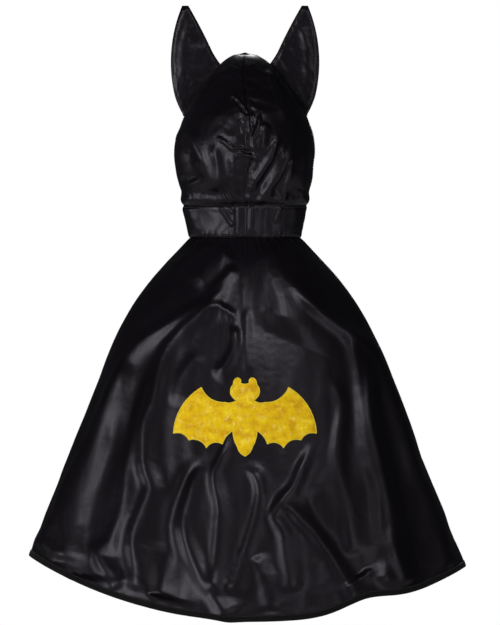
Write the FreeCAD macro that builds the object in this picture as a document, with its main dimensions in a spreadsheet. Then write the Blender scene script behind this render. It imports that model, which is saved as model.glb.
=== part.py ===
import FreeCAD, Part
import math
import os

import Sketcher
from FreeCAD import Placement, Rotation, Vector

# A child's hooded superhero cape in its worn shape, in millimetres, with +Z up.
# The wearer faces +Y, so the back of the cape faces -Y. The origin is the centre of the
# neck opening, level with the seam where the cape is gathered onto the neck band.

# Cross-sections are ellipses: level, half width, half depth and centre in Y.
SKIRT = [
    (0, 98, 55, 0),
    (-40, 137, 76, -5),
    (-110, 195, 100, -10),
    (-227, 252, 124, -18),
    (-440, 334, 158, -30),
    (-565, 384, 178, -37),
    (-690, 434, 198, -44),
]
BAND = [(0, 98, 55, 0), (58, 110, 62, 0)]
HOOD = [
    (58.4, 110, 62, 0),
    (112, 120, 92, 8),
    (163, 123, 108, 12),
    (215, 110, 102, 14),
    (265, 79, 76, 14),
    (305, 50, 48, 14),
    (327, 18, 16, 14),
]

PROFILES = {"skirt": SKIRT, "band": BAND, "hood": HOOD}

SIZES = {
    "cloth": 2.0,               # thickness that stands for the satin and its folds
    "turn": 1.0,                # thickness of the binding on each side of the cloth
    "binding_width": 10.0,
    "hem_radius": 796.0,        # curve of the hem, seen from behind
    "hem_centre": 124.0,
    "front_gap": 8.0,           # half of the gap between the band's two ends
    "front_top": 70.0,
    "front_hem": 205.0,         # half of the gap between the front edges at the bottom
    "front_bottom": -690.0,
    "face_radius": 80.0,
    "face_centre": 172.0,
    "face_foot": 12.0,
    "face_bottom": 50.0,
    "facing": 1.0,
    "applique": 1.5,
    "bat_span": 251.0,
    "bat_middle": -317.0,
    "foam": 5.0,
    "ear_skin": 1.2,
    "ear_seam": 3.0,            # how far the ear's skins reach past its foam
    "ear_plane": 14.0,
    "ear_lift": 8.0,            # from the hood's outline to the ear's base
    "inner_base_x": 44.0,
    "inner_base_z": 310.0,
    "outer_base_x": 109.0,
    "outer_base_z": 217.0,
    "inner_tip_x": 101.0,
    "outer_tip_x": 112.0,
    "tip_z": 414.0,
    "outer_curve": 260.0,
    "inner_curve": 900.0,
    "patch": 1.2,
    "patch_gap": 0.4,
    "patch_start": 13.0,
    "patch_length": 27.0,
    "patch_bottom": 16.0,
    "patch_height": 28.0,
    "tab_root": -10.0,
    "tab_length": 54.0,
    "tab_cloth": 1.5,
    "tab_bottom": 13.0,
    "tab_height": 34.0,
    "base_start": -36.0,
    "base_length": 20.0,
    "label_width": 30.0,
    "label_drop": 18.0,
    "label_cloth": 0.6,
    "label_back": -51.9,
}

REACH = 900.0                   # size of the blocks and prisms that only cut

# The bat's right half, from the top of its head round to its lowest point, as fractions
# of its span. The third figure is how far the edge that ends at the point bows inwards,
# and a minus sign makes it bow outwards.
BAT_EDGE = [
    (0.000, 0.230, 0.000),
    (0.034, 0.238, 0.000),
    (0.054, 0.276, -0.013),
    (0.080, 0.230, -0.010),
    (0.058, 0.122, -0.032),
    (0.140, 0.104, 0.012),
    (0.306, 0.208, 0.032),
    (0.500, -0.112, -0.048),
    (0.392, -0.158, 0.022),
    (0.270, -0.212, 0.026),
    (0.158, -0.186, 0.024),
    (0.084, -0.092, 0.012),
    (0.052, -0.206, -0.008),
    (0.000, -0.270, -0.010),
]

doc = FreeCAD.newDocument("superhero_cape")
dims = doc.addObject("Spreadsheet::Sheet", "dims")


def fill_sheet():
    """Put every driving dimension in the sheet, each with its own alias."""
    for name, profile in PROFILES.items():
        for number, section in enumerate(profile, 1):
            for kind, value in zip(("level", "width", "depth", "middle"), section):
                SIZES[f"{name}{number}_{kind}"] = value
    for row, (alias, value) in enumerate(SIZES.items(), 1):
        dims.set(f"A{row}", alias)
        dims.set(f"B{row}", str(value))
        dims.setAlias(f"B{row}", alias)
    doc.recompute()


def length(*terms):
    """A sum of dimensions as (value, expression). A term is an alias, an (alias, factor) or a number."""
    value = 0.0
    text = []
    for term in terms:
        if isinstance(term, str):
            term = (term, 1)
        if isinstance(term, tuple):
            value += SIZES[term[0]] * term[1]
            text.append(f"dims.{term[0]} * ({term[1]})")
        else:
            value += term
            text.append(f"({term})")
    return value, " + ".join(text)


def bind(thing, **properties):
    """Tie properties of a document object to lengths; x, y and z are its place."""
    for name, size in properties.items():
        path = f"Placement.Base.{name}" if name in ("x", "y", "z") else name
        thing.setExpression(path, size[1])


# Shapes that the pieces are cut from

def form(name, profile, offset, top_rise=0):
    """A solid through a profile's elliptical sections, grown outwards by an offset."""
    sections = len(PROFILES[profile])
    rings = []
    for number in range(1, sections + 1):
        key = f"{profile}{number}"
        ring = doc.addObject("Part::Ellipse", f"{name}_ring{number}")
        ring.MajorRadius = length(f"{key}_width", *offset)[0]
        ring.MinorRadius = length(f"{key}_depth", *offset)[0]
        rise = top_rise if number == sections else 0
        bind(
            ring,
            MajorRadius=length(f"{key}_width", *offset),
            MinorRadius=length(f"{key}_depth", *offset),
            y=length(f"{key}_middle"),
            z=length(f"{key}_level", rise),
        )
        rings.append(ring)
    solid = doc.addObject("Part::Loft", name)
    solid.Sections = rings
    solid.Solid = True
    return solid


def cut(name, base, tool):
    piece = doc.addObject("Part::Cut", name)
    piece.Base = base
    piece.Tool = tool
    return piece


def common(name, base, tool):
    piece = doc.addObject("Part::Common", name)
    piece.Base = base
    piece.Tool = tool
    return piece


def block(name, x, y, z, wide, deep, high):
    """A box from its lowest corner, each size a length()."""
    box = doc.addObject("Part::Box", name)
    bind(box, x=x, y=y, z=z, Length=wide, Width=deep, Height=high)
    return box


def draw(sketch, corners):
    """Draw a closed outline from corners (x, z, radius of the edge to the next, side it bows to)."""
    places = [Vector(x[0], z[0], 0) for x, z, _, _ in corners]
    edges = []
    for here, there, (_, _, radius, side) in zip(places, places[1:] + places[:1], corners):
        if radius is None:
            edges.append(Part.LineSegment(here, there))
            continue
        chord = there - here
        half = chord.Length / 2
        sagitta = radius[0] - math.sqrt(radius[0] ** 2 - half ** 2)
        across = Vector(chord.y, -chord.x, 0).normalize()
        middle = (here + there) / 2 + across * sagitta * side
        # A sketch's arcs all run counter-clockwise.
        edges.append(Part.Arc(here, middle, there) if side > 0 else Part.Arc(there, middle, here))
    sketch.addGeometry(edges, False)

    ends = []
    for number, place in enumerate(places):
        starts_here = sketch.Geometry[number].StartPoint.distanceToPoint(place) < 1e-4
        ends.append((1, 2) if starts_here else (2, 1))
    for number, (x, z, radius, _) in enumerate(corners):
        before = number - 1 if number else len(corners) - 1
        start = ends[number][0]
        sketch.addConstraint(Sketcher.Constraint("Coincident", before, ends[before][1], number, start))
        for kind, size in (("DistanceX", x), ("DistanceY", z)):
            rule = sketch.addConstraint(Sketcher.Constraint(kind, -1, 1, number, start, size[0]))
            sketch.setExpression(f"Constraints[{rule}]", size[1])
        if radius is not None:
            rule = sketch.addConstraint(Sketcher.Constraint("Radius", number, radius[0]))
            sketch.setExpression(f"Constraints[{rule}]", radius[1])


def prism(name, corners, start, depth):
    """An outline in the XZ plane, carried from Y = start along Y for a depth with a sign."""
    sketch = doc.addObject("Sketcher::SketchObject", f"{name}_outline")
    sketch.Placement = Placement(Vector(0, start, 0), Rotation(Vector(1, 0, 0), 90))
    draw(sketch, corners)
    solid = doc.addObject("Part::Extrusion", name)
    solid.Base = sketch
    solid.DirMode = "Custom"
    solid.Dir = Vector(0, math.copysign(1, depth), 0)
    solid.LengthFwd = abs(depth)
    solid.Solid = True
    return solid


def hem_disc(name, *inset):
    """The disc across the cape whose lower edge is the hem's curve."""
    disc = doc.addObject("Part::Cylinder", name)
    disc.Placement = Placement(Vector(0, REACH / 2, 0), Rotation(Vector(1, 0, 0), 90))
    disc.Height = REACH
    bind(disc, Radius=length("hem_radius", *inset), z=length("hem_centre"))
    return disc


def front_gap(name, *grow):
    """The open front: a slot through the neck band, widening down to the hem."""
    corners = []
    for sign in (1, -1):
        flare = [(alias, sign * factor) for alias, factor in grow]
        side = [
            (length(("front_gap", sign), *flare), length("front_top"), None, 0),
            (length(("front_gap", sign), *flare), length(0), None, 0),
            (length(("front_hem", sign), *flare), length("front_bottom"), None, 0),
        ]
        corners += side if sign == 1 else side[::-1]
    return prism(name, corners, 0, REACH)


def face_arch(name, *grow):
    """The face opening: a half circle with sides that close in on the neck."""
    shrink = [(alias, -factor) for alias, factor in grow]
    radius = length("face_radius", *grow)
    crown = length("face_centre", "face_radius", *grow)
    corners = [
        (length("face_foot", *grow), length("face_bottom"), None, 0),
        (radius, length("face_centre"), radius, 1),
        (length(0), crown, radius, 1),
        (length(("face_radius", -1), *shrink), length("face_centre"), None, 0),
        (length(("face_foot", -1), *shrink), length("face_bottom"), None, 0),
    ]
    return prism(name, corners, SIZES["ear_plane"], REACH)


def bat_prism():
    """The bat's outline, mirrored about its middle, carried out through the cape's back."""
    right = BAT_EDGE
    left = [(-x, z, bow) for (x, z, _), (_, _, bow) in zip(BAT_EDGE[-2:0:-1], BAT_EDGE[:1:-1])]
    points = right + left
    corners = []
    for (x, z, _), (next_x, next_z, bow) in zip(points, points[1:] + points[:1]):
        place = (length(("bat_span", x)), length("bat_middle", ("bat_span", z)))
        if bow == 0:
            corners.append((*place, None, 0))
            continue
        half = math.hypot(next_x - x, next_z - z) / 2
        radius = (half ** 2 + bow ** 2) / (2 * abs(bow))
        corners.append((*place, length(("bat_span", radius)), math.copysign(1, bow)))
    return prism("bat_prism", corners, 0, -REACH)


# The pieces

def name_piece(piece, label):
    piece.Label = label
    return piece


def make_cape():
    """The gathered skirt, its binding along the hem and down both front edges, and the bat."""
    outside = form("skirt_out", "skirt", [])
    shell = cut("skirt_shell", outside, form("skirt_in", "skirt", [("cloth", -1)]))
    sleeve_in = form("skirt_bound_in", "skirt", [("cloth", -1), ("turn", -1)])
    sleeve = cut("skirt_sleeve", form("skirt_bound_out", "skirt", ["turn"]), sleeve_in)

    trimmed = common("skirt_trimmed", shell, hem_disc("hem_cloth", ("turn", -1)))
    panel = cut("skirt_open", trimmed, front_gap("gap_cloth", ("turn", 1)))

    edge = front_gap("gap_edge")
    above_hem = hem_disc("above_hem", ("binding_width", -1))
    hem_ring = cut("hem_ring", hem_disc("hem_edge"), above_hem)
    hem = cut("hem_cut", cut("hem_open", common("hem_band", sleeve, hem_ring), edge), trimmed)

    zone = common("edge_zone", sleeve, front_gap("gap_bound", ("binding_width", 1)))
    zone = cut("edge_open", common("edge_high", zone, above_hem), edge)
    zone = common("edge_half", zone, doc.getObject("left_side"))
    left_edge = cut("left_edge", zone, panel)
    right_edge = doc.addObject("Part::Mirroring", "right_edge")
    right_edge.Source = left_edge
    right_edge.Normal = Vector(1, 0, 0)

    applique_shell = cut("applique_shell", form("applique_form", "skirt", ["applique"]), outside)
    bat = common("bat_cut", applique_shell, bat_prism())
    return [
        name_piece(panel, "cape_panel"),
        name_piece(hem, "hem_binding"),
        name_piece(left_edge, "front_binding_left"),
        name_piece(right_edge, "front_binding_right"),
        name_piece(bat, "bat_applique"),
    ]


def make_neck_band():
    """The two halves of the band, its inner facing, and the blank label in the seam."""
    outer = form("band_out", "band", [])
    inner = form("band_in", "band", [("cloth", -1)])
    lining = form("facing_in", "band", [("cloth", -1), ("facing", -1)])
    gap = doc.getObject("gap_edge")
    band = cut("band_open", cut("band_ring", outer, inner), gap)
    facing = cut("facing_open", cut("facing_ring", inner, lining), gap)
    label = block(
        "label_block",
        length(("label_width", -0.5)),
        length("label_back"),
        length(("label_drop", -1)),
        length("label_width"),
        length("label_cloth"),
        length("label_drop"),
    )
    return [
        name_piece(common("band_left", band, doc.getObject("left_side")), "neck_band_left"),
        name_piece(common("band_right", band, doc.getObject("right_side")), "neck_band_right"),
        name_piece(facing, "neck_facing"),
        name_piece(label, "care_label"),
    ]


def band_layer(name, inside, outside, start, size, bottom, height):
    """A piece of a layer that lies on the band's front, between two offsets from its face."""
    layer = cut(f"{name}_ring", form(f"{name}_out", "band", outside), form(f"{name}_in", "band", inside))
    window = block(
        f"{name}_window",
        length(start),
        length(0),
        length(bottom),
        length(size),
        length(REACH),
        length(height),
    )
    return name_piece(common(f"{name}_piece", layer, window), name)


def make_closure():
    """The neck strap: its sewn end, its free tab, and the hook and loop patches."""
    over_loop = ["patch"]
    under_hook = ["patch", "patch_gap"]
    over_hook = [("patch", 2), "patch_gap"]
    over_tab = [("patch", 2), "patch_gap", "tab_cloth"]
    patch = ("patch_start", "patch_length", "patch_bottom", "patch_height")
    tab = ("tab_root", "tab_length", "tab_bottom", "tab_height")
    base = ("base_start", "base_length", "tab_bottom", "tab_height")
    return [
        band_layer("loop_patch", [], over_loop, *patch),
        band_layer("hook_patch", under_hook, over_hook, *patch),
        band_layer("closure_tab", over_hook, over_tab, *tab),
        band_layer("closure_tab_base", [], ["tab_cloth"], *base),
    ]


def make_hood():
    """The hood's two halves, joined down the middle, and the binding round the face."""
    cloth = SIZES["cloth"]
    turn = SIZES["turn"]
    shell_in = form("hood_in", "hood", [("cloth", -1)], -cloth)
    shell = cut("hood_shell", form("hood_out", "hood", []), shell_in)
    sleeve_in = form("hood_bound_in", "hood", [("cloth", -1), ("turn", -1)], -cloth - turn)
    sleeve = cut("hood_sleeve", form("hood_bound_out", "hood", ["turn"], turn), sleeve_in)
    hood = cut("hood_open", shell, face_arch("face_cloth", ("turn", 1)))
    rim = cut("rim_open", sleeve, face_arch("face_edge"))
    rim_zone = common("rim_zone", rim, face_arch("face_bound", ("binding_width", 1)))
    return [
        name_piece(common("hood_left", hood, doc.getObject("left_side")), "hood_panel_left"),
        name_piece(common("hood_right", hood, doc.getObject("right_side")), "hood_panel_right"),
        name_piece(cut("rim_cut", rim_zone, hood), "face_binding"),
    ]


def ear_outline(sign, pull):
    """The ear's outline, on the right for +1, with its seam allowance pulled in by pull."""
    slope = math.atan2(
        SIZES["inner_base_z"] - SIZES["outer_base_z"],
        SIZES["outer_base_x"] - SIZES["inner_base_x"],
    )
    out_x = math.sin(slope)
    out_z = math.cos(slope)
    in_x = pull * math.cos(slope)
    in_z = pull * math.sin(slope)
    inner_base = (
        length(("inner_base_x", sign), ("ear_lift", sign * out_x), ("ear_seam", sign * in_x)),
        length("inner_base_z", ("ear_lift", out_z), ("ear_seam", -in_z)),
    )
    outer_base = (
        length(("outer_base_x", sign), ("ear_lift", sign * out_x), ("ear_seam", -sign * in_x)),
        length("outer_base_z", ("ear_lift", out_z), ("ear_seam", in_z)),
    )
    tip_level = length("tip_z", ("ear_seam", -2.5 * pull))
    inner_tip = (length(("inner_tip_x", sign), ("ear_seam", sign * 0.1 * pull)), tip_level)
    outer_tip = (length(("outer_tip_x", sign), ("ear_seam", -sign * 0.9 * pull)), tip_level)
    return [
        (*inner_base, length("inner_curve"), -sign),
        (*inner_tip, None, 0),
        (*outer_tip, length("outer_curve"), -sign),
        (*outer_base, None, 0),
    ]


def make_ear(side, sign):
    """One ear: two flat skins with a foam sheet between them."""
    pieces = []
    layers = (
        ("front", "ear_skin", 0, [("foam", 0.5), ("ear_skin", 0.5)]),
        ("stiffener", "foam", 1, []),
        ("back", "ear_skin", 0, [("foam", -0.5), ("ear_skin", -0.5)]),
    )
    for layer, thickness, pull, shift in layers:
        body = doc.addObject("PartDesign::Body", f"ear_{side}_{layer}")
        plane = next(f for f in body.Origin.OriginFeatures if f.Role == "XZ_Plane")
        sketch = body.newObject("Sketcher::SketchObject", f"ear_{side}_{layer}_outline")
        sketch.AttachmentSupport = [(plane, "")]
        sketch.MapMode = "FlatFace"
        draw(sketch, ear_outline(sign, pull))
        pad = body.newObject("PartDesign::Pad", f"ear_{side}_{layer}_pad")
        pad.Profile = sketch
        pad.Midplane = True
        bind(pad, Length=length(thickness))
        bind(body, y=length("ear_plane", *shift))
        pieces.append(name_piece(body, f"ear_{side}_{layer}"))
    return pieces


def check_and_write(pieces):
    """Stop on any failed feature or bad shape, then write one STEP file for each piece."""
    doc.recompute()
    for thing in doc.Objects:
        for word in ("Invalid", "Error"):
            if word in thing.State:
                raise RuntimeError(f"{thing.Name}: {thing.State}")
    for piece in pieces:
        shape = piece.Shape
        if shape.isNull() or not shape.isValid() or not shape.Solids:
            raise RuntimeError(f"{piece.Label}: its shape is missing or not valid")
        print(f"{piece.Label}: {len(shape.Solids)} solids, {shape.Volume / 1000:.2f} cm3")
    os.makedirs("parts", exist_ok=True)
    for piece in pieces:
        piece.Shape.exportStep(f"parts/{piece.Label}.step")


fill_sheet()
block("left_side", length(-REACH), length(-REACH), length(-REACH),
      length(REACH), length(2 * REACH), length(2 * REACH))
block("right_side", length(0), length(-REACH), length(-REACH),
      length(REACH), length(2 * REACH), length(2 * REACH))
all_pieces = make_cape() + make_neck_band() + make_closure() + make_hood()
all_pieces += make_ear("left", -1) + make_ear("right", 1)
check_and_write(all_pieces)
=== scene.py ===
import math

import bmesh
import bpy
import numpy as np
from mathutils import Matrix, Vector, geometry
from mathutils.bvhtree import BVHTree


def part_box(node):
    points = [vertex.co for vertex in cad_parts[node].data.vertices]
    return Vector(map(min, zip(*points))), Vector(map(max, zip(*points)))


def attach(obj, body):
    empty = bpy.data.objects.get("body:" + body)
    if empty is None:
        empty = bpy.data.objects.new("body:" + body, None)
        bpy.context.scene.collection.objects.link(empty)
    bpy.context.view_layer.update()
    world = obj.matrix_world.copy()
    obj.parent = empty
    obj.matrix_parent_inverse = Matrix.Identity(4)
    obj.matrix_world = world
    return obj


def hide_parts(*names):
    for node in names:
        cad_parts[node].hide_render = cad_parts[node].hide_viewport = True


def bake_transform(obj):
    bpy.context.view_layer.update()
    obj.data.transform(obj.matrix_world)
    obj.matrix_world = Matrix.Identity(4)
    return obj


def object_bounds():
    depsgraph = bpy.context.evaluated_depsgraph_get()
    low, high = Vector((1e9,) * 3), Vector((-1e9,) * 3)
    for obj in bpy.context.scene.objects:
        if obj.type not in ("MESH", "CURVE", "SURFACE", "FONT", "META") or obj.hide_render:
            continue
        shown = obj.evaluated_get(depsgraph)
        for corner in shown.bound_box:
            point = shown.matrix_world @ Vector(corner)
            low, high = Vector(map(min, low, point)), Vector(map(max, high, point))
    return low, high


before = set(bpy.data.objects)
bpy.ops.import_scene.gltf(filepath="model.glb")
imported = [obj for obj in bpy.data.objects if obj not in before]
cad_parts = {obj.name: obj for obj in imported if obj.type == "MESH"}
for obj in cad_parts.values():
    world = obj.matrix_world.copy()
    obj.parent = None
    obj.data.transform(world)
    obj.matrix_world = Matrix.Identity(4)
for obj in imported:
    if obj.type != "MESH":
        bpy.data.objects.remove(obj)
cad_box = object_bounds()

# A child's black satin bat cape, worn shape, seen from behind. Everything is in metres.
# The back of the cape faces -Y. "across" runs from the left front edge round the back to
# the right front edge, and "down" runs from the neck to the hem.

MM = 0.001

CAMERA_FAR = 14.0               # how far off the camera is, and the height that it takes in
CAMERA_VIEW = 1.112
FLOOR_BELOW = 0.12              # how far the floor is below the hem
FLOOR_RADIUS = 2.4
FLARE_RISE = 0.13               # the skirt's lowest part, which runs on straight from what is above
FLARE_STEP = 0.03               # where its slope is measured
FLARE_DEEPER = 0.16             # how much deeper it gets, and how far back it moves, per metre down
FLARE_BACK = 0.056
HEM_TILT = 0.03                 # slope of the hem across the back
HEM_RADIUS = 0.796              # curve of the hem, seen from behind
TAPE_WIDTH = 0.010
TAPE_HALF = 0.0011
TAPE_FOLD = 0.0012              # how far its fold stands past the cloth's edge
TAPE_SEAM = TAPE_WIDTH * 0.86   # where it is stitched
CLOTH = 0.0005                  # thickness of the satin
FACE_FOOT = 0.012               # half of the gap at the foot of the face opening
FACE_BOTTOM = 0.050             # level where that gap is measured, hidden by the seam
NECK_GAP = 0.008                # half of the gap between the band's two ends
FOLD_DEPTH = 0.95               # a common scale for the depth of the skirt's folds, and for their width
FOLD_WIDTH = 1.3
FOLD_LEAN = 1.25
SEAM_TUCK = 0.008               # seam allowance of the hood, inside the band
CROWN_PEAK = 4.5 * MM           # how far the seam's top stands above the crown
EAR_HALF = 0.0052               # half of an ear's thickness
EAR_GAP = 0.008                 # clearance of the CAD ear from the hood, closed by its cover
EAR_DENT = [(100, 385), (112, 320), (108, 250)]     # route of a shallow ridge down each ear, in mm
EAR_ROOT = 0.014                # how far an ear runs on inside the hood's seam
STRAP_BASE_RISE = 0.0016        # how far the strap's pieces stand off the band
STRAP_RISE = 0.0040
STRAP_HINGE = -0.010            # where it bends, across the band
STRAP_ROUND = 0.012             # length of its rounded end
PLATE = 0.0011                  # thickness of the strap and of its patches
LOOP_RISE = 0.0012
HOOK_RISE = 0.0026


# ---------------------------------------------------------------- camera, light and floor

def make_camera():
    """Square to the cape's back, from far off, framed a little above and below it."""
    low, high = cad_box
    camera = bpy.data.objects.new("camera", bpy.data.cameras.new("camera"))
    bpy.context.scene.collection.objects.link(camera)
    camera.location = (0.0088, -CAMERA_FAR, (low.z + high.z) / 2 - 0.0035)
    camera.rotation_euler = (math.pi / 2, 0, 0)
    camera.data.sensor_width = 36
    camera.data.lens = camera.data.sensor_width * CAMERA_FAR / CAMERA_VIEW
    camera.data.clip_end = 100
    bpy.context.scene.camera = camera


def add_light(name, place, target, wide, high, power):
    light = bpy.data.lights.new(name, "AREA")
    light.shape = "RECTANGLE"
    light.size = wide
    light.size_y = high
    light.energy = power
    lamp = bpy.data.objects.new(name, light)
    bpy.context.scene.collection.objects.link(lamp)
    lamp.location = place
    aim = Vector(target) - Vector(place)
    lamp.rotation_euler = aim.to_track_quat("-Z", "Y").to_euler()


def make_studio():
    """A pale floor, a white surround for the camera, and soft boxes on both sides."""
    scene = bpy.context.scene
    scene.view_settings.view_transform = "Standard"
    world = bpy.data.worlds.new("studio")
    scene.world = world
    world.use_nodes = True
    nodes, links = world.node_tree.nodes, world.node_tree.links
    nodes.clear()
    output = nodes.new("ShaderNodeOutputWorld")
    mix = nodes.new("ShaderNodeMixShader")
    path = nodes.new("ShaderNodeLightPath")
    dim = nodes.new("ShaderNodeBackground")
    white = nodes.new("ShaderNodeBackground")
    dim.inputs["Color"].default_value = (0.85, 0.87, 1.0, 1)
    dim.inputs["Strength"].default_value = 0.035
    white.inputs["Color"].default_value = (1, 1, 1, 1)
    white.inputs["Strength"].default_value = 1.0
    links.new(path.outputs["Is Camera Ray"], mix.inputs["Fac"])
    links.new(dim.outputs[0], mix.inputs[1])
    links.new(white.outputs[0], mix.inputs[2])
    links.new(mix.outputs[0], output.inputs["Surface"])

    place = (0, 0, cad_box[0].z - FLOOR_BELOW)
    bpy.ops.mesh.primitive_circle_add(vertices=96, radius=FLOOR_RADIUS, fill_type="NGON", location=place)
    floor = bpy.context.object
    floor.name = "floor"
    paint = bpy.data.materials.new("floor_white")
    paint.use_nodes = True
    shader = paint.node_tree.nodes["Principled BSDF"]
    shader.inputs["Base Color"].default_value = (0.9, 0.9, 0.9, 1)
    shader.inputs["Roughness"].default_value = 0.9
    floor.data.materials.append(paint)

    add_light("strip_left", (-2.9, -4.4, -0.1), (0, 0, -0.1), 0.9, 3.8, 172)
    add_light("strip_right", (2.6, -4.4, -0.1), (0, 0, -0.1), 0.5, 3.6, 40)
    add_light("side_left", (-4.0, -1.2, -0.3), (0, 0, 0.1), 0.8, 0.9, 26)
    add_light("above", (1.0, -4.3, 2.8), (0, 0, -0.1), 0.9, 0.8, 58)
    add_light("front_high", (0.2, 3.4, 3.6), (0, 0, -0.1), 1.6, 1.4, 120)
    add_light("front_low", (0.2, 4.6, 0.7), (0, 0, -0.1), 1.4, 1.6, 30)


# ---------------------------------------------------------------- measuring the frame

def cut_points(names, level):
    """Where the edges of some CAD nodes cross a level."""
    found = []
    for name in names:
        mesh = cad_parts[name].data
        places = np.empty(len(mesh.vertices) * 3)
        mesh.vertices.foreach_get("co", places)
        places = places.reshape(-1, 3)
        pairs = np.empty(len(mesh.edges) * 2, dtype=int)
        mesh.edges.foreach_get("vertices", pairs)
        a, b = places[pairs.reshape(-1, 2)].transpose(1, 0, 2)
        crosses = (a[:, 2] - level) * (b[:, 2] - level) < 0
        a, b = a[crosses], b[crosses]
        share = (level - a[:, 2]) / (b[:, 2] - a[:, 2])
        found.append(a + (b - a) * share[:, None])
    return np.concatenate(found)


def profile(names, low, high, count=48):
    """Half width, half depth and centre in Y of the nodes at any level, as one function."""
    levels = np.linspace(low, high, count)
    rows = []
    for level in levels:
        points = cut_points(names, level)
        wide = np.abs(points[:, 0]).max()
        middle = points[np.abs(points[:, 0]) > wide - 2 * MM, 1].mean()
        rows.append((wide, middle - points[:, 1].min(), middle))
    curves = [np.polynomial.Polynomial.fit(levels, row, min(9, count - 2)) for row in np.array(rows).T]

    def at(level):
        return [curve(np.clip(level, low, high)) for curve in curves]

    return at


def band_shape():
    """The profile of the neck band."""
    low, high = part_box("neck_band_left")
    return profile(["neck_band_left", "neck_band_right"], low.z + MM, high.z - MM, 12)


# ---------------------------------------------------------------- cloth as grids of points

def steps_along(path):
    """How far each point of a path is along it."""
    return np.concatenate([[0], np.cumsum(np.linalg.norm(np.diff(path, axis=0), axis=-1))])


def at_steps(places, run, path):
    """Points of a path at some distances along it."""
    return np.stack([np.interp(places, run, path[:, k]) for k in range(path.shape[1])], axis=-1)


def smooth_step(share):
    share = np.clip(share, 0, 1)
    return share * share * (3 - 2 * share)


def behind(angle):
    """1 on the cape's back, falling to 0 at its sides."""
    return np.clip(1.75 - np.abs(angle), 0, 0.5) / 0.5


def unit(vectors):
    return vectors / np.maximum(np.linalg.norm(vectors, axis=-1, keepdims=True), 1e-12)


def smooth_path(points, count=40):
    """A curve through a few points, as many evenly numbered ones."""
    points = np.array(points, float)
    padded = np.vstack([2 * points[0] - points[1], points, 2 * points[-1] - points[-2]])
    made = []
    for share in np.linspace(0, len(points) - 1 - 1e-9, count):
        k = int(share)
        t = share - k
        a, b, c, d = padded[k:k + 4]
        made.append(0.5 * (2 * b + (c - a) * t + (2 * a - 5 * b + 4 * c - d) * t * t
                           + (3 * b - a - 3 * c + d) * t ** 3))
    return np.array(made)


def fold(place, route, width, height, fade=0.2, end_fade=0.2, lean=1.0):
    """How far a ridge lifts points, seen from behind: route is in mm, and it fades at both ends.
    It widens as it goes. A lean over 1 makes it steep on its left and gentle on its right."""
    line = smooth_path(np.array(route) * MM)
    nearest = np.full(place.shape[:-1], np.inf)
    along = np.zeros(place.shape[:-1])
    right = np.zeros(place.shape[:-1], bool)
    for number, (a, b) in enumerate(zip(line, line[1:])):
        step = b - a
        share = np.clip(((place - a) @ step) / (step @ step), 0, 1)
        away = place - (a + share[..., None] * step)
        gap = np.linalg.norm(away, axis=-1)
        closer = gap < nearest
        nearest = np.where(closer, gap, nearest)
        along = np.where(closer, (number + share) / (len(line) - 1), along)
        right = np.where(closer, step[0] * away[..., 1] - step[1] * away[..., 0] > 0, right)
    ends = smooth_step(np.clip(along / fade, 0, 1) * np.clip((1 - along) / end_fade, 0, 1))
    reach = width * MM * (0.75 + 0.5 * along) * np.where(right, lean, 1 / lean)
    return height * MM * ends * np.exp(-((nearest / reach) ** 2))


def normals(grid):
    """The outward normal at each point of a grid."""
    across = np.gradient(grid, axis=1)
    down = np.gradient(grid, axis=0)
    return unit(np.cross(down, across))


def waves(seed, place, size, octaves=3):
    """Smooth random waves over points, about -1 to 1, for features of a size in metres."""
    draw = np.random.default_rng(seed)
    total = np.zeros(place.shape[:-1])
    weight = 0
    for octave in range(octaves):
        for _ in range(6):
            direction = draw.normal(size=place.shape[-1])
            direction /= np.linalg.norm(direction)
            pitch = size / 2 ** octave * draw.uniform(0.7, 1.4)
            total += np.sin(place @ direction * 2 * math.pi / pitch + draw.uniform(0, 6.28)) / 2 ** octave
            weight += 0.5 / 2 ** octave
    return total / weight


def refine(grid):
    """Twice as many points each way, on smooth curves through the old ones."""
    for axis in (0, 1):
        grid = np.moveaxis(grid, axis, 0)
        ends = np.concatenate([2 * grid[:1] - grid[1:2], grid, 2 * grid[-1:] - grid[-2:-1]])
        between = (9 * (ends[1:-2] + ends[2:-1]) - ends[:-3] - ends[3:]) / 16
        made = np.empty((2 * len(grid) - 1, *grid.shape[1:]))
        made[::2] = grid
        made[1::2] = between
        grid = np.moveaxis(made, 0, axis)
    return grid


def make_object(name, vertices, faces, material):
    mesh = bpy.data.meshes.new(name)
    mesh.from_pydata([tuple(v) for v in vertices], [], faces)
    mesh.update()
    mesh.polygons.foreach_set("use_smooth", [True] * len(mesh.polygons))
    piece = bpy.data.objects.new(name, mesh)
    bpy.context.scene.collection.objects.link(piece)
    if material:
        mesh.materials.append(material)
    return piece


def grid_faces(grid):
    """The corners of a grid's squares, by the numbers of its points."""
    index = np.arange(grid[..., 0].size).reshape(grid.shape[:2])
    quads = np.stack([index[:-1, :-1], index[1:, :-1], index[1:, 1:], index[:-1, 1:]], axis=-1)
    return quads.reshape(-1, 4).tolist()


def tube_faces(rings, sides, closed=False, base=0):
    """The faces of a tube of rings of points, with its ends capped unless it is closed."""
    faces = []
    for k in range(rings if closed else rings - 1):
        near, far = base + k * sides, base + (k + 1) % rings * sides
        for s in range(sides):
            t = (s + 1) % sides
            faces.append((near + s, near + t, far + t, far + s))
    if not closed:
        faces.append(tuple(range(base, base + sides))[::-1])
        faces.append(tuple(range(base + (rings - 1) * sides, base + rings * sides)))
    return faces


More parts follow.
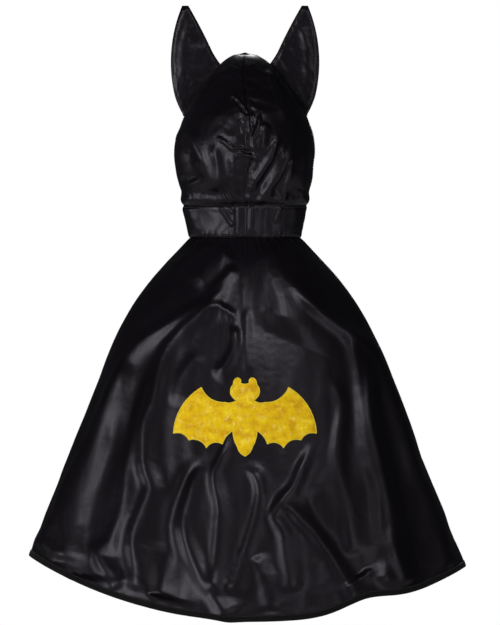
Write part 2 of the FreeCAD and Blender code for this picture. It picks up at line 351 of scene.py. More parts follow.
def face_outwards(piece, weld=0, close=False):
    """Turn a mesh's faces outwards, welding points closer than a distance and closing its holes first."""
    bm = bmesh.new()
    bm.from_mesh(piece.data)
    if weld:
        bmesh.ops.remove_doubles(bm, verts=bm.verts, dist=weld)
    if close:
        bmesh.ops.holes_fill(bm, edges=[e for e in bm.edges if e.is_boundary], sides=0)
    bmesh.ops.recalc_face_normals(bm, faces=bm.faces)
    bm.to_mesh(piece.data)
    bm.free()


def grid_object(name, grid, material):
    """A mesh of a grid, with the cloth's own flat coordinates in metres as its UV map."""
    piece = make_object(name, grid.reshape(-1, 3), grid_faces(grid), material)
    steps = np.linalg.norm(np.diff(grid, axis=1), axis=-1).mean(axis=0)
    drops = np.linalg.norm(np.diff(grid, axis=0), axis=-1).mean(axis=1)
    u = np.concatenate([[0], np.cumsum(steps)])
    v = -np.concatenate([[0], np.cumsum(drops)])
    flat = np.stack(np.meshgrid(u, v), axis=-1).reshape(-1, 2)
    layer = piece.data.uv_layers.new(name="cloth")
    loops = np.empty(len(piece.data.loops), dtype=int)
    piece.data.loops.foreach_get("vertex_index", loops)
    layer.data.foreach_set("uv", flat[loops].ravel())
    return piece


def thicken(piece, reverse, thickness=CLOTH):
    """Give a cloth its thickness, inwards from the side that shows, and its reverse side's finish."""
    solid = piece.modifiers.new("thickness", "SOLIDIFY")
    solid.thickness = thickness
    solid.offset = -1
    if reverse:
        piece.data.materials.append(reverse)
        solid.material_offset = 1
    apply_modifiers(piece)


def apply_modifiers(piece):
    graph = bpy.context.evaluated_depsgraph_get()
    made = bpy.data.meshes.new_from_object(piece.evaluated_get(graph))
    piece.modifiers.clear()
    old = piece.data
    piece.data = made
    bpy.data.meshes.remove(old)


def settle(grid, hold, frames, grow, bend, keep, weight=0.0):
    """Let a cloth crumple and settle: hold is 1 where it is sewn fast and near 0 where it is free.
    Satin this stiff keeps only a share of the crumpling."""
    piece = grid_object("settling", grid, None)
    group = piece.vertex_groups.new(name="hold")
    for number, share in enumerate(hold.ravel()):
        group.add([number], float(share), "REPLACE")
    cloth = piece.modifiers.new("cloth", "CLOTH")
    rules = cloth.settings
    rules.quality = 5
    rules.mass = 0.12
    rules.tension_stiffness = 12
    rules.compression_stiffness = 12
    rules.shear_stiffness = 4
    rules.bending_stiffness = bend
    rules.tension_damping = 12
    rules.compression_damping = 12
    rules.shear_damping = 8
    rules.bending_damping = 1.5
    rules.air_damping = 4
    rules.shrink_min = -grow
    rules.shrink_max = -grow
    rules.vertex_group_mass = "hold"
    rules.pin_stiffness = 1.0
    rules.effector_weights.gravity = weight
    cloth.collision_settings.use_self_collision = False
    cloth.collision_settings.use_collision = False
    cloth.point_cache.frame_start = 1
    cloth.point_cache.frame_end = frames
    scene = bpy.context.scene
    for number in range(1, frames + 1):
        scene.frame_set(number)
    graph = bpy.context.evaluated_depsgraph_get()
    settled = piece.evaluated_get(graph).to_mesh()
    places = np.empty(len(settled.vertices) * 3)
    settled.vertices.foreach_get("co", places)
    scene.frame_set(1)
    bpy.data.objects.remove(piece)
    return grid + keep * (places.reshape(grid.shape) - grid)


# ---------------------------------------------------------------- materials

class Paint:
    """A material in the making: its nodes, and the sockets that its shader is fed from."""

    def __init__(self, name):
        self.material = bpy.data.materials.new(name)
        self.material.use_nodes = True
        self.nodes = self.material.node_tree.nodes
        self.shader = self.nodes["Principled BSDF"]
        self.place = self.nodes.new("ShaderNodeTexCoord").outputs

    def link(self, source, target):
        self.material.node_tree.links.new(source, target)

    def node(self, kind, inputs=(), **settings):
        node = self.nodes.new(kind)
        for key, value in settings.items():
            setattr(node, key, value)
        self.feed(node, inputs)
        return node

    def feed(self, node, inputs):
        """Set a node's inputs to constant values, or link them to sockets."""
        for key, value in dict(inputs).items():
            if isinstance(value, bpy.types.NodeSocket):
                self.link(value, node.inputs[key])
            else:
                node.inputs[key].default_value = value

    def ramp(self, source, stops):
        """A colour ramp fed by a socket: stops are (place, colour)."""
        node = self.node("ShaderNodeValToRGB", {"Fac": source})
        points = node.color_ramp.elements
        while len(points) < len(stops):
            points.new(0.5)
        for point, (place, colour) in zip(points, stops):
            point.position = place
            point.color = (*colour, 1)
        return node.outputs["Color"]

    def spread(self, source, low, high):
        """A 0 to 1 socket spread over low to high."""
        node = self.node("ShaderNodeMapRange", {"Value": source, "To Min": low, "To Max": high})
        return node.outputs["Result"]

    def noise(self, scale, detail=3.0, stretch=(1, 1, 1), turn=0.0, place="Object"):
        """Noise over a coordinate, stretched and turned about Z."""
        mapping = self.node("ShaderNodeMapping", {"Vector": self.place[place], "Scale": stretch,
                                                  "Rotation": (0, 0, turn)})
        node = self.node("ShaderNodeTexNoise", {"Vector": mapping.outputs["Vector"], "Scale": scale,
                                                "Detail": detail})
        return node.outputs["Fac"]

    def finish(self, inputs, bumps):
        """Feed the shader, and stack bumps on it: each is a height socket and a depth in metres."""
        self.feed(self.shader, inputs)
        under = None
        for height, depth in bumps:
            node = self.node("ShaderNodeBump", {"Strength": 1.0, "Distance": depth, "Height": height})
            if under:
                self.link(under, node.inputs["Normal"])
            under = node.outputs["Normal"]
        self.link(under, self.shader.inputs["Normal"])
        return self.material


def satin_material(name="black_satin", dull=False):
    """Black polyester satin: floats along the warp, slight slubs, and a soft purple-grey lustre.
    Its reverse side is duller."""
    paint = Paint(name)
    floats = paint.noise(1.0, 2.0, (2600, 420, 1), place="UV")
    slubs = paint.noise(1.0, 2.0, (160, 14, 1), place="UV")
    creases = paint.noise(26.0, 4.0)
    clouds = paint.noise(7.0, 2.0)
    colour = paint.ramp(clouds, [(0.3, (0.0024, 0.0018, 0.0026)), (0.7, (0.0046, 0.0038, 0.0052))])
    rough = (0.62, 0.75) if dull else (0.27, 0.36)
    tangent = paint.node("ShaderNodeTangent", direction_type="UV_MAP", uv_map="cloth")
    return paint.finish({
        "Base Color": colour,
        "Roughness": paint.spread(slubs, *rough),
        "Specular IOR Level": 0.12 if dull else 0.20,
        "Specular Tint": (0.95, 0.88, 1.0, 1),
        "Anisotropic": 0.2 if dull else 0.5,
        "Tangent": tangent.outputs["Tangent"],
    }, [(creases, 0.0006), (slubs, 0.00005), (floats, 0.000006)])


def tape_material():
    """Matte black bias tape: a fine diagonal twill, a little dusty in spots all over."""
    paint = Paint("black_tape")
    twill = paint.noise(1.0, 1.0, (900, 900, 2600), 0.6)
    lint = paint.noise(320.0)
    colour = paint.ramp(lint, [(0.35, (0.0026, 0.0022, 0.0022)), (0.72, (0.0064, 0.0054, 0.0052))])
    return paint.finish({
        "Base Color": colour,
        "Roughness": paint.spread(lint, 0.72, 0.9),
        "Specular IOR Level": 0.10,
        "Sheen Weight": 0.02,
        "Sheen Roughness": 0.6,
    }, [(lint, 0.0002), (twill, 0.00018)])


def velvet_material():
    """Yellow crushed velvet: pile pressed in different directions, with painted shade (amber) where it lies
    away, and pale patches of painted sheen.
    """
    paint = Paint("yellow_velvet")
    crush = paint.noise(55.0, 5.0, (1, 1, 1.5), 0.4)
    painted_sheen_patches = paint.noise(120.0, 6.0, (1.4, 1, 0.8))
    pile = paint.noise(2400.0, 2.0)
    # painted shade: the colour runs from amber to yellow over the crushed pile, darker where the pile lies
    # away from the light
    base = paint.ramp(crush, [
        (0.36, (0.63, 0.34, 0.0)),
        (0.47, (0.73, 0.45, 0.0)),
        (0.60, (0.79, 0.52, 0.002)),
        (0.70, (0.88, 0.64, 0.02)),
    ])
    # painted sheen: pale patches mixed into the colour where the pile catches the light
    share = paint.spread(paint.ramp(painted_sheen_patches, [(0.56, (0, 0, 0)), (0.74, (1, 1, 1))]), 0, 0.5)
    pale = paint.node("ShaderNodeMix", {0: share, 6: base, 7: (0.93, 0.76, 0.22, 1)}, data_type="RGBA")
    return paint.finish({
        "Base Color": pale.outputs[2],
        "Roughness": paint.spread(crush, 0.75, 0.95),
        "Specular IOR Level": 0.25,
        "Sheen Weight": 0.35,
        "Sheen Roughness": 0.4,
        "Sheen Tint": (1, 0.85, 0.3, 1),
    }, [(crush, 0.0016), (painted_sheen_patches, 0.0008), (pile, 0.0002)])


def thread_material(name, colour):
    """Sewing thread with a fine twist."""
    paint = Paint(name)
    twist = paint.noise(3200.0, 2.0)
    return paint.finish({
        "Base Color": paint.ramp(twist, [(0.3, tuple(c * 0.7 for c in colour)), (0.7, colour)]),
        "Roughness": 0.55,
        "Sheen Weight": 0.2,
    }, [(twist, 0.0001)])


def fastener_material(name, scale, depth):
    """Black hook-and-loop tape: a fine field of stems or fuzz, its colour painted lighter on the stems and
    with painted shade between them.
    """
    paint = Paint(name)
    cells = paint.node("ShaderNodeTexVoronoi", {"Vector": paint.place["Object"], "Scale": scale})
    stems = cells.outputs["Distance"]
    fuzz = paint.noise(2200.0)
    # painted highlight and shade: the colour is lighter near each stem and darker in the gaps between stems
    return paint.finish({
        "Base Color": paint.ramp(stems, [(0.1, (0.03, 0.029, 0.031)), (0.6, (0.006, 0.006, 0.006))]),
        "Roughness": paint.spread(fuzz, 0.6, 0.85),
        "Sheen Weight": 0.2,
    }, [(stems, -depth), (fuzz, 0.0002)])


def ribbon_material():
    """White woven ribbon: fine ribs across and a slight lustre."""
    paint = Paint("white_ribbon")
    ribs = paint.noise(1.0, 1.0, (300, 300, 3800))
    stain = paint.noise(90.0)
    return paint.finish({
        "Base Color": paint.ramp(stain, [(0.3, (0.74, 0.72, 0.68)), (0.7, (0.85, 0.84, 0.81))]),
        "Roughness": paint.spread(ribs, 0.4, 0.55),
        "Anisotropic": 0.3,
    }, [(ribs, 0.00012), (stain, 0.0002)])


# ---------------------------------------------------------------- the skirt

# Ridges and hollows in the skirt, seen from behind: width and height in mm (minus for a hollow),
# then a route in mm across and up from the middle of the neck seam.
SKIRT_FOLDS = [
    (11, 7.5, [(-20, -70), (-48, -104), (-92, -128), (-150, -163), (-190, -190), (-216, -226), (-245, -290),
               (-264, -332), (-290, -392), (-320, -450), (-346, -510), (-374, -556)]),
    (15, 5.5, [(-196, -215), (-218, -245), (-240, -300), (-262, -368), (-278, -412), (-296, -452),
               (-314, -508), (-320, -575)]),
    (11, 7.0, [(-18, -168), (-22, -138), (-54, -124), (-86, -145), (-116, -170), (-140, -200), (-151, -240),
               (-158, -284), (-173, -330), (-176, -400), (-166, -440), (-180, -482), (-195, -530),
               (-190, -580), (-188, -632)]),
    (11, 5.0, [(-160, -205), (-174, -268), (-190, -330), (-206, -400), (-215, -478), (-236, -530),
               (-257, -556), (-242, -590), (-224, -622)]),
    (9, 4.0, [(-44, -6), (-90, -30), (-118, -46), (-140, -62)]),
    (14, 6.0, [(-26, -16), (-62, -48), (-96, -86)]),
    (9, 3.5, [(-14, -48), (-46, -84), (-74, -112)]),
    (8, 5.0, [(-22, -150), (-19, -190), (-34, -224), (-58, -246)]),
    (7, 2.2, [(2, -120), (2, -190), (3, -250)]),
    (36, 9.0, [(26, -6), (52, -62), (74, -126), (56, -176)]),
    (12, 7.5, [(46, -40), (104, -110), (150, -148), (200, -180), (234, -210), (256, -260), (276, -320),
               (300, -400), (330, -470), (346, -530), (364, -596)]),
    (12, 6.0, [(140, -146), (178, -172), (196, -210), (205, -270), (212, -340), (222, -400), (235, -450),
               (241, -510), (250, -560), (246, -620)]),
    (9, 5.0, [(214, -192), (217, -260), (222, -330), (238, -400), (250, -450), (258, -500), (263, -550),
              (288, -618)]),
    (15, -6.5, [(232, -226), (246, -300), (264, -380), (286, -470), (306, -560), (316, -620)]),
    (16, -7.0, [(-76, -384), (-108, -430), (-132, -500), (-134, -560), (-152, -634)]),
    (11, 5.5, [(-70, -390), (-92, -430), (-110, -500), (-95, -560), (-66, -614), (-28, -668)]),
    (9, 5.0, [(-26, -345), (-42, -384), (-54, -420), (-46, -470), (-46, -500), (-50, -550), (-56, -628)]),
    (10, 5.0, [(-2, -398), (18, -420), (25, -452), (16, -500), (4, -540), (-6, -570), (-22, -626)]),
    (10, 5.5, [(122, -358), (100, -402), (84, -440), (62, -466), (50, -492), (67, -520), (73, -560),
               (82, -628)]),
    (10, 5.5, [(62, -462), (92, -492), (130, -530), (165, -580), (194, -640)]),
    (16, -5.0, [(110, -440), (130, -490), (160, -540), (200, -600)]),
    (18, -4.5, [(-230, -300), (-238, -380), (-262, -460), (-286, -560), (-290, -600)]),
    (12, 3.5, [(14, -556), (32, -600), (44, -650)]),
    (10, 3.0, [(150, -240), (168, -300), (160, -380), (178, -470), (190, -560)]),
    (12, 3.0, [(-80, -200), (-112, -250), (-120, -300)]),
]


def hem_level(x):
    """The hem's level at a distance from the middle: one arc, a little lower on the right, with a
    scallop where a fold takes it up."""
    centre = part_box("hem_binding")[0].z + HEM_RADIUS
    arc = centre - np.sqrt(HEM_RADIUS ** 2 - x ** 2)
    scallop = 16 * MM * np.exp(-((x - 0.215) / 0.055) ** 2) - 3 * MM * np.exp(-((x + 0.030) / 0.025) ** 2)
    return arc - HEM_TILT * x + scallop


def front_reach(level):
    """Half of the gap between the two front edges at a level."""
    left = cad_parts["front_binding_left"].data
    places = np.array([v.co for v in left.vertices])
    low, high = places[:, 2].min(), places[:, 2].max()
    bottom_gap = -places[places[:, 2] < low + 2 * MM, 0].max()
    return NECK_GAP + (bottom_gap - NECK_GAP) * (high - level) / (high - low)


def skirt_grid(columns=301, rows=101):
    """The skirt before it is sewn and creased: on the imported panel, front edge to front edge."""
    low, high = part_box("cape_panel")
    flare = low.z + FLARE_RISE
    shape = profile(["cape_panel"], flare, high.z - 1 * MM)
    steep = profile(["cape_panel"], flare, flare + FLARE_STEP, 4)
    slope = (steep(flare + FLARE_STEP)[0] - shape(flare)[0]) / FLARE_STEP

    def section(level):
        wide, deep, middle = shape(level)
        below = np.maximum(flare - level, 0)
        return wide - slope * below, deep + FLARE_DEEPER * below, middle - FLARE_BACK * below

    share = np.linspace(-1, 1, columns)
    share = share - 0.22 / math.pi * np.sin(2 * math.pi * share)
    down = np.linspace(0, 1, rows)[:, None]
    bottom = np.full(columns, low.z)
    for _ in range(12):
        wide, deep, middle = section(bottom)
        turn = math.pi - np.arcsin(np.clip(front_reach(bottom) / wide, 0, 1))
        bottom = hem_level(np.clip(wide * np.sin(share * turn), -0.7, 0.7))
    level = high.z + (bottom[None, :] - high.z) * down
    wide, deep, middle = section(level)
    turn = math.pi - np.arcsin(np.clip(front_reach(level) / wide, 0, 1))
    angle = share[None, :] * turn
    grid = np.stack([wide * np.sin(angle), middle - deep * np.cos(angle), level], axis=-1)
    return grid, angle


def crease_skirt(grid, angle):
    """Add the back's ridges, the flutes at the sides and front, and the gathers at the neck."""
    seen = grid[..., [0, 2]]
    lift = np.zeros(grid.shape[:2])
    for width, height, route in SKIRT_FOLDS:
        reaches_hem = route[-1][1] < -540
        end_fade = 0.04 if reaches_hem else 0.25
        lift += fold(seen, route, width * FOLD_WIDTH, height * FOLD_DEPTH, 0.18, end_fade, FOLD_LEAN)
    lift *= behind(angle)
    drop = -grid[..., 2]
    flutes = np.sin(angle * 7.0 + 1.5 * np.sin(angle * 2)) + 0.5 * np.sin(angle * 13 + 2)
    beside = np.clip(np.abs(angle) - 1.55, 0, 0.7) / 0.7
    lift += 9 * MM * flutes * beside * np.clip(drop / 0.5, 0, 1)
    lift += 2.2 * MM * waves(3, seen * (1, 0.22), 0.11) * np.clip(drop / 0.25, 0, 1)
    gather = np.sin(angle * 46 + 3 * np.sin(angle * 5)) + 0.6 * np.sin(angle * 83 + 1)
    lift += 1.3 * MM * gather * np.exp(-drop / 0.016) * np.clip(drop / 0.004, 0, 1)
    return grid + normals(grid) * lift[..., None]


def tape_along(name, edge, inside, normal, material):
    """Bias tape folded over a cloth edge: points on the edge, points inside it, and normals."""
    inward = unit(inside - edge)
    half_ring = [(1, 0.55), (0.92, 1.0), (0.5, 1.12), (0.08, 1.1), (-TAPE_FOLD / TAPE_WIDTH, 0.5)]
    ring = [(TAPE_WIDTH * share, out) for share, out in half_ring]
    ring += [(reach, -out) for reach, out in ring[::-1]]
    points = np.stack([edge + inward * reach + normal * out * TAPE_HALF for reach, out in ring], axis=1)
    piece = make_object(name, points.reshape(-1, 3), tube_faces(*points.shape[:2]), material)
    face_outwards(piece)
    return piece


def tape_seam(name, edge, inside, normal, thread):
    """The stitching that holds a tape, on the side that shows."""
    line = edge + unit(inside - edge) * TAPE_SEAM + normal * TAPE_HALF * 1.02
    seam = stitches(name, line, normal, thread)
    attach(seam, "cape")
    return seam


def make_skirt(satin, reverse, tape, thread):
    grid, angle = skirt_grid()
    grid = crease_skirt(grid, angle)
    rows, columns = grid.shape[:2]
    hold = np.full((rows, columns), 0.10)
    hold[:2] = 1.0
    hold[-2:] = 0.5
    hold[:, [0, -1]] = 0.8
    grid = settle(grid, hold, frames=12, grow=0.006, weight=0.1, bend=6.0, keep=0.15)
    grid = refine(grid)
    skirt = grid_object("cape_cloth", grid, satin)
    thicken(skirt, reverse)
    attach(skirt, "cape")
    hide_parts("cape_panel")

    normal = normals(grid)
    hem = tape_along("hem_tape", grid[-1], grid[-4], normal[-1], tape)
    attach(hem, "cape")
    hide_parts("hem_binding")
    tapes = [hem]
    for side, outer, inner in (("left", 0, 4), ("right", -1, -5)):
        edge = grid[:, outer], grid[:, inner], normal[:, outer]
        front = tape_along(f"front_tape_{side}", *edge, tape)
        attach(front, "cape")
        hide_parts(f"front_binding_{side}")
        tapes += [front, tape_seam(f"front_stitches_{side}", *edge, thread)]
    tapes.append(tape_seam("hem_stitches", grid[-1], grid[-4], normal[-1], thread))
    return grid


# ---------------------------------------------------------------- sewing

def stitches(name, path, normal, material, long=0.0030, pitch=0.0042, radius=0.00032):
    """A row of stitches along a path on cloth: each rises out of the cloth and goes back in."""
    run = steps_along(path)
    vertices, faces = [], []
    turns = np.linspace(0, 2 * math.pi, 5, endpoint=False)[:, None]
    for start in np.arange(pitch / 2, run[-1] - long, pitch):
        faces += tube_faces(4, len(turns), base=len(vertices))
        for share, wide, lift in ((0, 0.45, -0.5), (0.2, 1, 0.35), (0.8, 1, 0.35), (1, 0.45, -0.5)):
            at = start + share * long
            centre, out = at_steps(at, run, path), at_steps(at, run, normal)
            beside = unit(np.cross(out, at_steps(at + radius, run, path) - centre))
            centre = centre + out * lift * radius
            vertices.extend(centre + radius * wide * (beside * np.cos(turns) + out * np.sin(turns)))
    return make_object(name, vertices, faces, material)


# ---------------------------------------------------------------- the hood

# Ridges and gashes in the hood, seen from behind, as for the skirt.
HOOD_FOLDS = [
    (3.0, 2.6, [(-28, 243), (-20, 250), (-8, 236), (11, 208)]),
    (3.0, -2.2, [(-18, 246), (-6, 230), (8, 212)]),
    (3.4, 3.0, [(27, 219), (21, 192), (7, 167)]),
    (3.4, 3.6, [(-51, 179), (-35, 168), (-20, 158), (11, 158)]),
    (3.2, -4.0, [(-19, 157), (0, 152), (14, 149)]),
    (3.4, 3.2, [(-21, 156), (0, 147), (12, 144), (28, 136)]),
    (3.4, -3.0, [(13, 142), (9, 126), (4, 118)]),
    (8.0, 6.0, [(60, 190), (50, 152), (34, 124), (18, 98), (2, 62)]),
    (6.0, -5.0, [(64, 170), (52, 136), (36, 108), (16, 74)]),
    (8.0, 6.0, [(88, 172), (70, 130), (50, 100), (34, 78), (14, 52)]),
    (6.0, -4.0, [(84, 140), (66, 106), (48, 72)]),
    (4.5, 4.0, [(82, 158), (79, 112), (69, 74), (62, 48)]),
    (9.0, 4.0, [(108, 160), (104, 110), (92, 66)]),
    (10.0, 3.5, [(38, 206), (31, 180), (28, 150)]),
    (8.0, 3.4, [(38, 304), (56, 258), (74, 202)]),
    (7.0, -3.0, [(50, 290), (66, 256), (84, 214)]),
    (13.0, 5.0, [(-108, 206), (-84, 160), (-64, 114), (-50, 70)]),
    (9.0, 3.5, [(-58, 168), (-46, 122), (-42, 78)]),
    (10.0, 3.0, [(-24, 150), (-18, 112), (-14, 70)]),
    (12.0, 3.0, [(-114, 200), (-120, 150), (-112, 96)]),
    (12.0, -3.5, [(-100, 160), (-98, 130), (-90, 96)]),
    (8.0, 3.0, [(-30, 304), (-66, 264), (-104, 220)]),
    (3.4, 2.6, [(-46, 92), (-36, 74), (-22, 54)]),
    (3.0, 2.2, [(-38, 92), (-28, 78), (-18, 62)]),
]
HOOD_SEAM = [(2, 40), (3, 60), (2, 80), (6, 110), (14, 140), (8, 165), (12, 185), (10, 210), (2, 250),
             (-2, 275), (-3, 305), (0, 330)]
BAND_FOLDS = [
    (3.6, 2.8, [(-56, 76), (-46, 60), (-27, 30), (-20, 20)]),
    (3.0, 2.0, [(-40, 70), (-30, 54), (-20, 42)]),
    (3.4, 2.6, [(66, 66), (61, 48), (53, 24)]),
    (14.0, 2.6, [(-112, 66), (-90, 30), (-60, -6)]),
    (5.0, 2.2, [(12, 66), (11, 40), (8, 4)]),
    (7.0, 2.0, [(90, 62), (86, 30), (82, -6)]),
    (9.0, -2.0, [(40, 62), (36, 30), (40, -6)]),
]


def face_edge(height, steps):
    """Half widths and levels up the edge of the face opening, evenly along it."""
    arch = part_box("face_binding")[1]
    radius = arch.x - TAPE_WIDTH
    centre = arch.z - TAPE_WIDTH - radius
    slope = (radius - FACE_FOOT) / (centre - FACE_BOTTOM)
    foot = FACE_FOOT + (height - FACE_BOTTOM) * slope
    side = math.hypot(radius - foot, centre - height)
    reach = np.linspace(0, side + radius * math.pi / 2, steps)
    turn = np.maximum(reach - side, 0) / radius
    share = np.minimum(reach / side, 1)
    wide = np.where(reach < side, foot + (radius - foot) * share, radius * np.cos(turn))
    level = np.where(reach < side, height + (centre - height) * share, centre + radius * np.sin(turn))
    return wide, level


def evenly(levels, reach, start, end, steps):
    """Levels from start to end, evenly spaced along a curve given by its levels and lengths."""
    first, last = np.interp([start, end], levels, reach)
    return np.interp(np.linspace(first, last, steps), reach, levels)


def hood_grid(columns=181, face_rows=58, crown_rows=26):
    """The hood before it is creased: crown to neck seam, round from one face edge to the other."""
    low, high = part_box("hood_panel_left")
    top = high.z - MM
    shape = profile(["hood_panel_left", "hood_panel_right"], low.z + MM, top)
    levels = np.linspace(low.z, top, 120)
    wide, deep, _ = shape(levels)
    reach = steps_along(np.stack([wide, deep, levels], axis=-1))
    edge_wide, edge_level = face_edge(low.z, face_rows)
    front = np.concatenate([edge_level, evenly(levels, reach, edge_level[-1], top, crown_rows)[1:]])
    back = evenly(levels, reach, low.z, top, face_rows + crown_rows - 1)
    edge_wide = np.concatenate([edge_wide, np.zeros(crown_rows - 1)])
    edge_angle = math.pi - np.arcsin(np.clip(edge_wide / shape(front)[0], 0, 1))
    share = np.linspace(-1, 1, columns)[None, :]
    mix = np.abs(share) ** 2 * (3 - 2 * np.abs(share))
    level = back[:, None] + (front - back)[:, None] * mix
    wide, deep, middle = shape(level)
    angle = share * edge_angle[:, None]
    grid = np.stack([wide * np.sin(angle), middle - deep * np.cos(angle), level], axis=-1)
    rim = grid[-1]
    for close in (0.35, 0.7, 1.0):
        ring = rim.copy()
        ring[:, 0] *= 1 - close
        ring[:, 1] += (middle[-1] - ring[:, 1]) * 0.2 * close
        ring[:, 2] += CROWN_PEAK * close
        grid = np.concatenate([grid, ring[None]])
        angle = np.concatenate([angle, angle[-1:]])
    for tuck in (0.5, 1.0):
        ring = grid[0] - np.array([0, 0, SEAM_TUCK / 2])
        ring[:, :2] *= 1 - 0.012 * tuck
        grid = np.concatenate([ring[None], grid])
        angle = np.concatenate([angle[:1], angle])
    return grid[::-1], angle[::-1], face_rows + 2


def groove(place, route, width, depth):
    """How far a seam pulls points in, seen from behind."""
    line = smooth_path(np.array(route) * MM)
    across = np.interp(place[..., 1], line[:, 1], line[:, 0])
    return -depth * MM * np.exp(-((place[..., 0] - across) / (width * MM)) ** 2)


def crease_hood(grid, angle):
    seen = grid[..., [0, 2]]
    lift = np.zeros(grid.shape[:2])
    for width, height, route in HOOD_FOLDS:
        lift += fold(seen, route, width, height, 0.22)
    lift += groove(seen, HOOD_SEAM, 2.2, 2.6)
    lift += 0.7 * MM * np.exp(-((seen[..., 0] - 0.006) / 0.03) ** 2) * waves(6, seen, 0.022)
    lift *= behind(angle)
    above = np.maximum(grid[..., 2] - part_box("hood_panel_left")[0].z, 0)
    roll = np.exp(-((above - 0.010) / 0.009) ** 2)
    gather = np.sin(angle * 23 + 2.5 * np.sin(angle * 4)) + 0.4 * np.sin(angle * 47 + 1)
    lift += roll * (2.6 * MM + 0.5 * MM * gather) - 1.5 * MM * (above == 0)
    lift += 1.8 * MM * waves(5, grid, 0.11) * np.clip(above / 0.02, 0, 1)
    front_seam = np.exp(-(seen[..., 0] / 0.0022) ** 2) * (np.abs(angle) > 2)
    lift -= 2.0 * MM * front_seam * (seen[..., 1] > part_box("face_binding")[1].z - TAPE_WIDTH)
    below_crown = grid[..., 2].max() - grid[..., 2]
    return grid + normals(grid) * (lift * np.clip((below_crown - 6 * MM) / 0.02, 0, 1))[..., None]


def blend_hood(piece):
    """Bake the piece's transform into its mesh."""
    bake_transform(piece)


def make_hood(satin, reverse, tape, thread):
    grid, angle, face_rows = hood_grid()
    grid = crease_hood(grid, angle)
    rows, columns = grid.shape[:2]
    hold = np.full((rows, columns), 0.08)
    hold[-4:] = 1.0
    hold[:5] = 1.0
    hold[:, [0, 1, -2, -1]] = 1.0
    middle = columns // 2
    hold[:, middle - 1:middle + 2] = 0.7
    below_crown = grid[..., 2].max() - grid[..., 2]
    hold = np.maximum(hold, np.exp(-(below_crown / 0.03) ** 2))
    for side in ("left", "right"):
        base = ear_base(side)
        gap = np.abs(grid[..., 1] - base[0][1]) + np.abs(distance_to_line(grid[..., [0, 2]], base))
        hold = np.maximum(hold, np.exp(-(gap / 0.012) ** 2))
    grid = settle(grid, hold, frames=12, grow=0.02, weight=0.05, bend=3.0, keep=0.25)
    grid = refine(grid)
    middle = grid.shape[1] // 2
    halves = {"left": grid[:, :middle + 1], "right": grid[:, middle:]}
    for side, half in halves.items():
        panel = grid_object(f"hood_{side}", half, satin)
        thicken(panel, reverse)
        blend_hood(panel)
        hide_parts(f"hood_panel_{side}")
    normal = normals(grid)
    foot = grid.shape[0] - 1
    arch = foot - 2 * (face_rows - 1)
    edge = np.concatenate([grid[foot:arch:-1, 0], grid[arch:foot + 1, -1]])
    inside = np.concatenate([grid[foot:arch:-1, 5], grid[arch:foot + 1, -6]])
    out = np.concatenate([normal[foot:arch:-1, 0], normal[arch:foot + 1, -1]])
    peak = foot - arch
    for near in range(peak - 8, peak + 9):
        inside[near] = edge[near] + np.array([0, 0, 1.0]) * 0.01 + (inside[near] - edge[near]) * 0.2
    face = tape_along("face_tape", edge, inside, out, tape)
    blend_hood(face)
    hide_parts("face_binding")
    seam = stitches("face_stitches", edge + unit(inside - edge) * TAPE_SEAM + out * TAPE_HALF, out, thread)
    blend_hood(seam)


# ---------------------------------------------------------------- the neck band

def band_grid(offset=0.0, columns=241, rows=25):
    """A strip round the neck band, an offset outside it, from one of its ends to the other."""
    low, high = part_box("neck_band_left")
    level = np.linspace(high.z, low.z, rows)[:, None]
    wide, deep, middle = band_shape()(level)
    wide, deep = wide + offset, deep + offset
    angle = np.linspace(-1, 1, columns)[None, :] * (math.pi - np.arcsin(NECK_GAP / wide))
    grid = np.stack([wide * np.sin(angle), middle - deep * np.cos(angle), level + 0 * angle], axis=-1)
    return grid, angle


def make_band(satin, reverse, thread):
    grid, angle = band_grid()
    seen = grid[..., [0, 2]]
    top, bottom = grid[0, 0, 2], grid[-1, 0, 2]
    edge = np.minimum(top - grid[..., 2], grid[..., 2] - bottom)
    inner = np.clip(edge / 0.006, 0, 1)
    lift = 1.4 * MM * inner + 0.9 * MM * waves(11, grid, 0.09, 2) * inner
    for width, height, route in BAND_FOLDS:
        lift += fold(seen, route, width, height) * behind(angle) * inner
    lift += groove(seen, [(4, -2), (5, 60)], 1.6, 2.2) * behind(angle)
    across = seen[..., 0]
    pleat = np.exp(-((across + 0.016) / 0.0016) ** 2) - np.exp(-((across + 0.0205) / 0.003) ** 2)
    lift -= 1.5 * MM * pleat * behind(angle)
    gather = np.sin(angle * 52 + 2 * np.sin(angle * 7)) + 0.6 * np.sin(angle * 97)
    lift += 0.7 * MM * gather * np.exp(-((grid[..., 2] - bottom) / 0.008) ** 2)
    lift -= 0.8 * MM * np.exp(-(edge / 0.0015) ** 2)
    front = np.clip((math.pi - np.abs(angle)) / 0.5, 0, 1)
    grid = grid + normals(grid) * (lift * front)[..., None]
    hold = np.full(grid.shape[:2], 0.1)
    hold[[0, 1, -2, -1]] = 1.0
    hold[:, :30] = hold[:, -30:] = 1.0
    grid = refine(settle(grid, hold, frames=10, grow=0.012, bend=4.0, keep=0.25))
    middle = grid.shape[1] // 2
    for side, half in {"left": grid[:, :middle + 1], "right": grid[:, middle:]}.items():
        piece = grid_object(f"band_{side}", half, satin)
        thicken(piece, reverse, 1.2 * MM)
        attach(piece, "cape")
        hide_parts(f"neck_band_{side}")
    for place, row in (("top", 3), ("bottom", -4)):
        seam = stitches(f"band_stitches_{place}", grid[row], normals(grid)[row], thread)
        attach(seam, "cape")

    lining, angle = band_grid(-2.4 * MM, columns=181, rows=17)
    lining = lining - normals(lining) * (0.5 * MM * waves(12, lining, 0.04))[..., None]
    facing = grid_object("neck_facing_cloth", refine(lining), satin)
    thicken(facing, reverse, 0.5 * MM)
    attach(facing, "cape")
    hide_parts("neck_facing")


# ---------------------------------------------------------------- the ears

